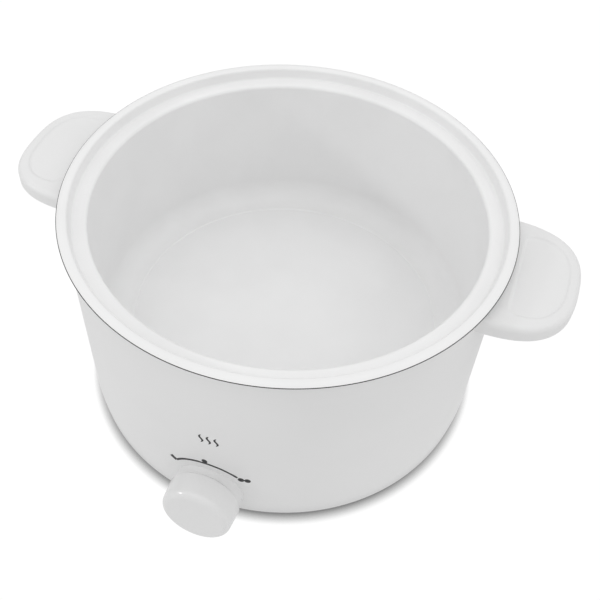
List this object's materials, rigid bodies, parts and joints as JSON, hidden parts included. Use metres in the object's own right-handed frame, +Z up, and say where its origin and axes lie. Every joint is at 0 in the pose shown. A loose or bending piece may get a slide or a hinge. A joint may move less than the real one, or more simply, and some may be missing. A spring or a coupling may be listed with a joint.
{
  "type": "slow cooker",
  "caption": "Round electric slow cooker base with a lift-out pot, two ear handles and a front control knob, lid not included.",
  "frame": {"origin": "middle of the round footprint, on the surface that the feet stand on", "axes": "+Z up, +X along the handles, control knob towards -Y, power inlet towards +Y"},
  "size_m": [0.3458, 0.2895, 0.15],
  "materials": {
    "housing": "white, moulded, semi-gloss",
    "handle": "white, moulded, semi-gloss",
    "knob": "white, moulded, semi-gloss",
    "pot_coating": "white ceramic coating on pressed aluminium, bare machined rim edge",
    "well_metal": "aluminised sheet, satin",
    "heater_mica": "mica-faced heating foil",
    "steel_strap": "plain strip steel",
    "steel_screw": "zinc plated",
    "shaft_steel": "turned steel",
    "glass_wool": "needled glass fibre",
    "base_plastic": "white, moulded, matt",
    "foot_rubber": "grey elastomer",
    "switch_plastic": "black phenolic",
    "cam_plastic": "natural nylon",
    "contact_brass": "rolled brass",
    "inlet_plastic": "black, moulded",
    "ceramic_block": "unglazed steatite",
    "wire_brown": "silicone sleeved",
    "wire_blue": "silicone sleeved",
    "wire_green": "silicone sleeved"
  },
  "bodies": {
    "base": {"outer_housing": "housing", "left_handle": "handle", "right_handle": "handle", "handle_screws": "steel_screw", "heating_well": "well_metal", "heater_band": "heater_mica", "heater_straps": "steel_strap", "insulation_blanket": "glass_wool", "heat_shield": "well_metal", "shield_spacers": "steel_strap", "tie_rods": "steel_screw", "tie_nuts": "steel_screw", "base_plate": "base_plastic", "rubber_feet": "foot_rubber", "switch_case": "switch_plastic", "switch_cover": "switch_plastic", "switch_nut": "steel_screw", "switch_contacts": "contact_brass", "switch_terminals": "contact_brass", "power_inlet": "inlet_plastic", "inlet_pins": "contact_brass", "inlet_screws": "steel_screw", "terminal_block": "ceramic_block", "terminal_screws": "contact_brass", "thermal_fuse": "shaft_steel", "fuse_clamp": "steel_strap", "live_wire": "wire_brown", "neutral_wire": "wire_blue", "earth_wire": "wire_green", "switch_wire": "wire_brown", "fuse_wire": "wire_brown", "heater_live_lead": "wire_brown", "heater_neutral_lead": "wire_blue", "earth_lead": "wire_green", "earth_tab": "contact_brass"},
    "pot": {"inner_pot": "pot_coating"},
    "control": {"control_knob": "knob", "knob_hub_ring": "steel_strap", "control_shaft": "shaft_steel", "switch_cam": "cam_plastic"}
  },
  "joints": [
    {"name": "knob_turn", "type": "hinge", "parent": "base", "child": "control", "pos_m": [0, -0.1297, 0.026], "axis": [0, 0.9976, -0.0698], "range_deg": [0, 100]},
    {"name": "pot_lift", "type": "slide", "parent": "base", "child": "pot", "axis": [0, 0, 1], "range_m": [0, 0.115]}
  ]
}
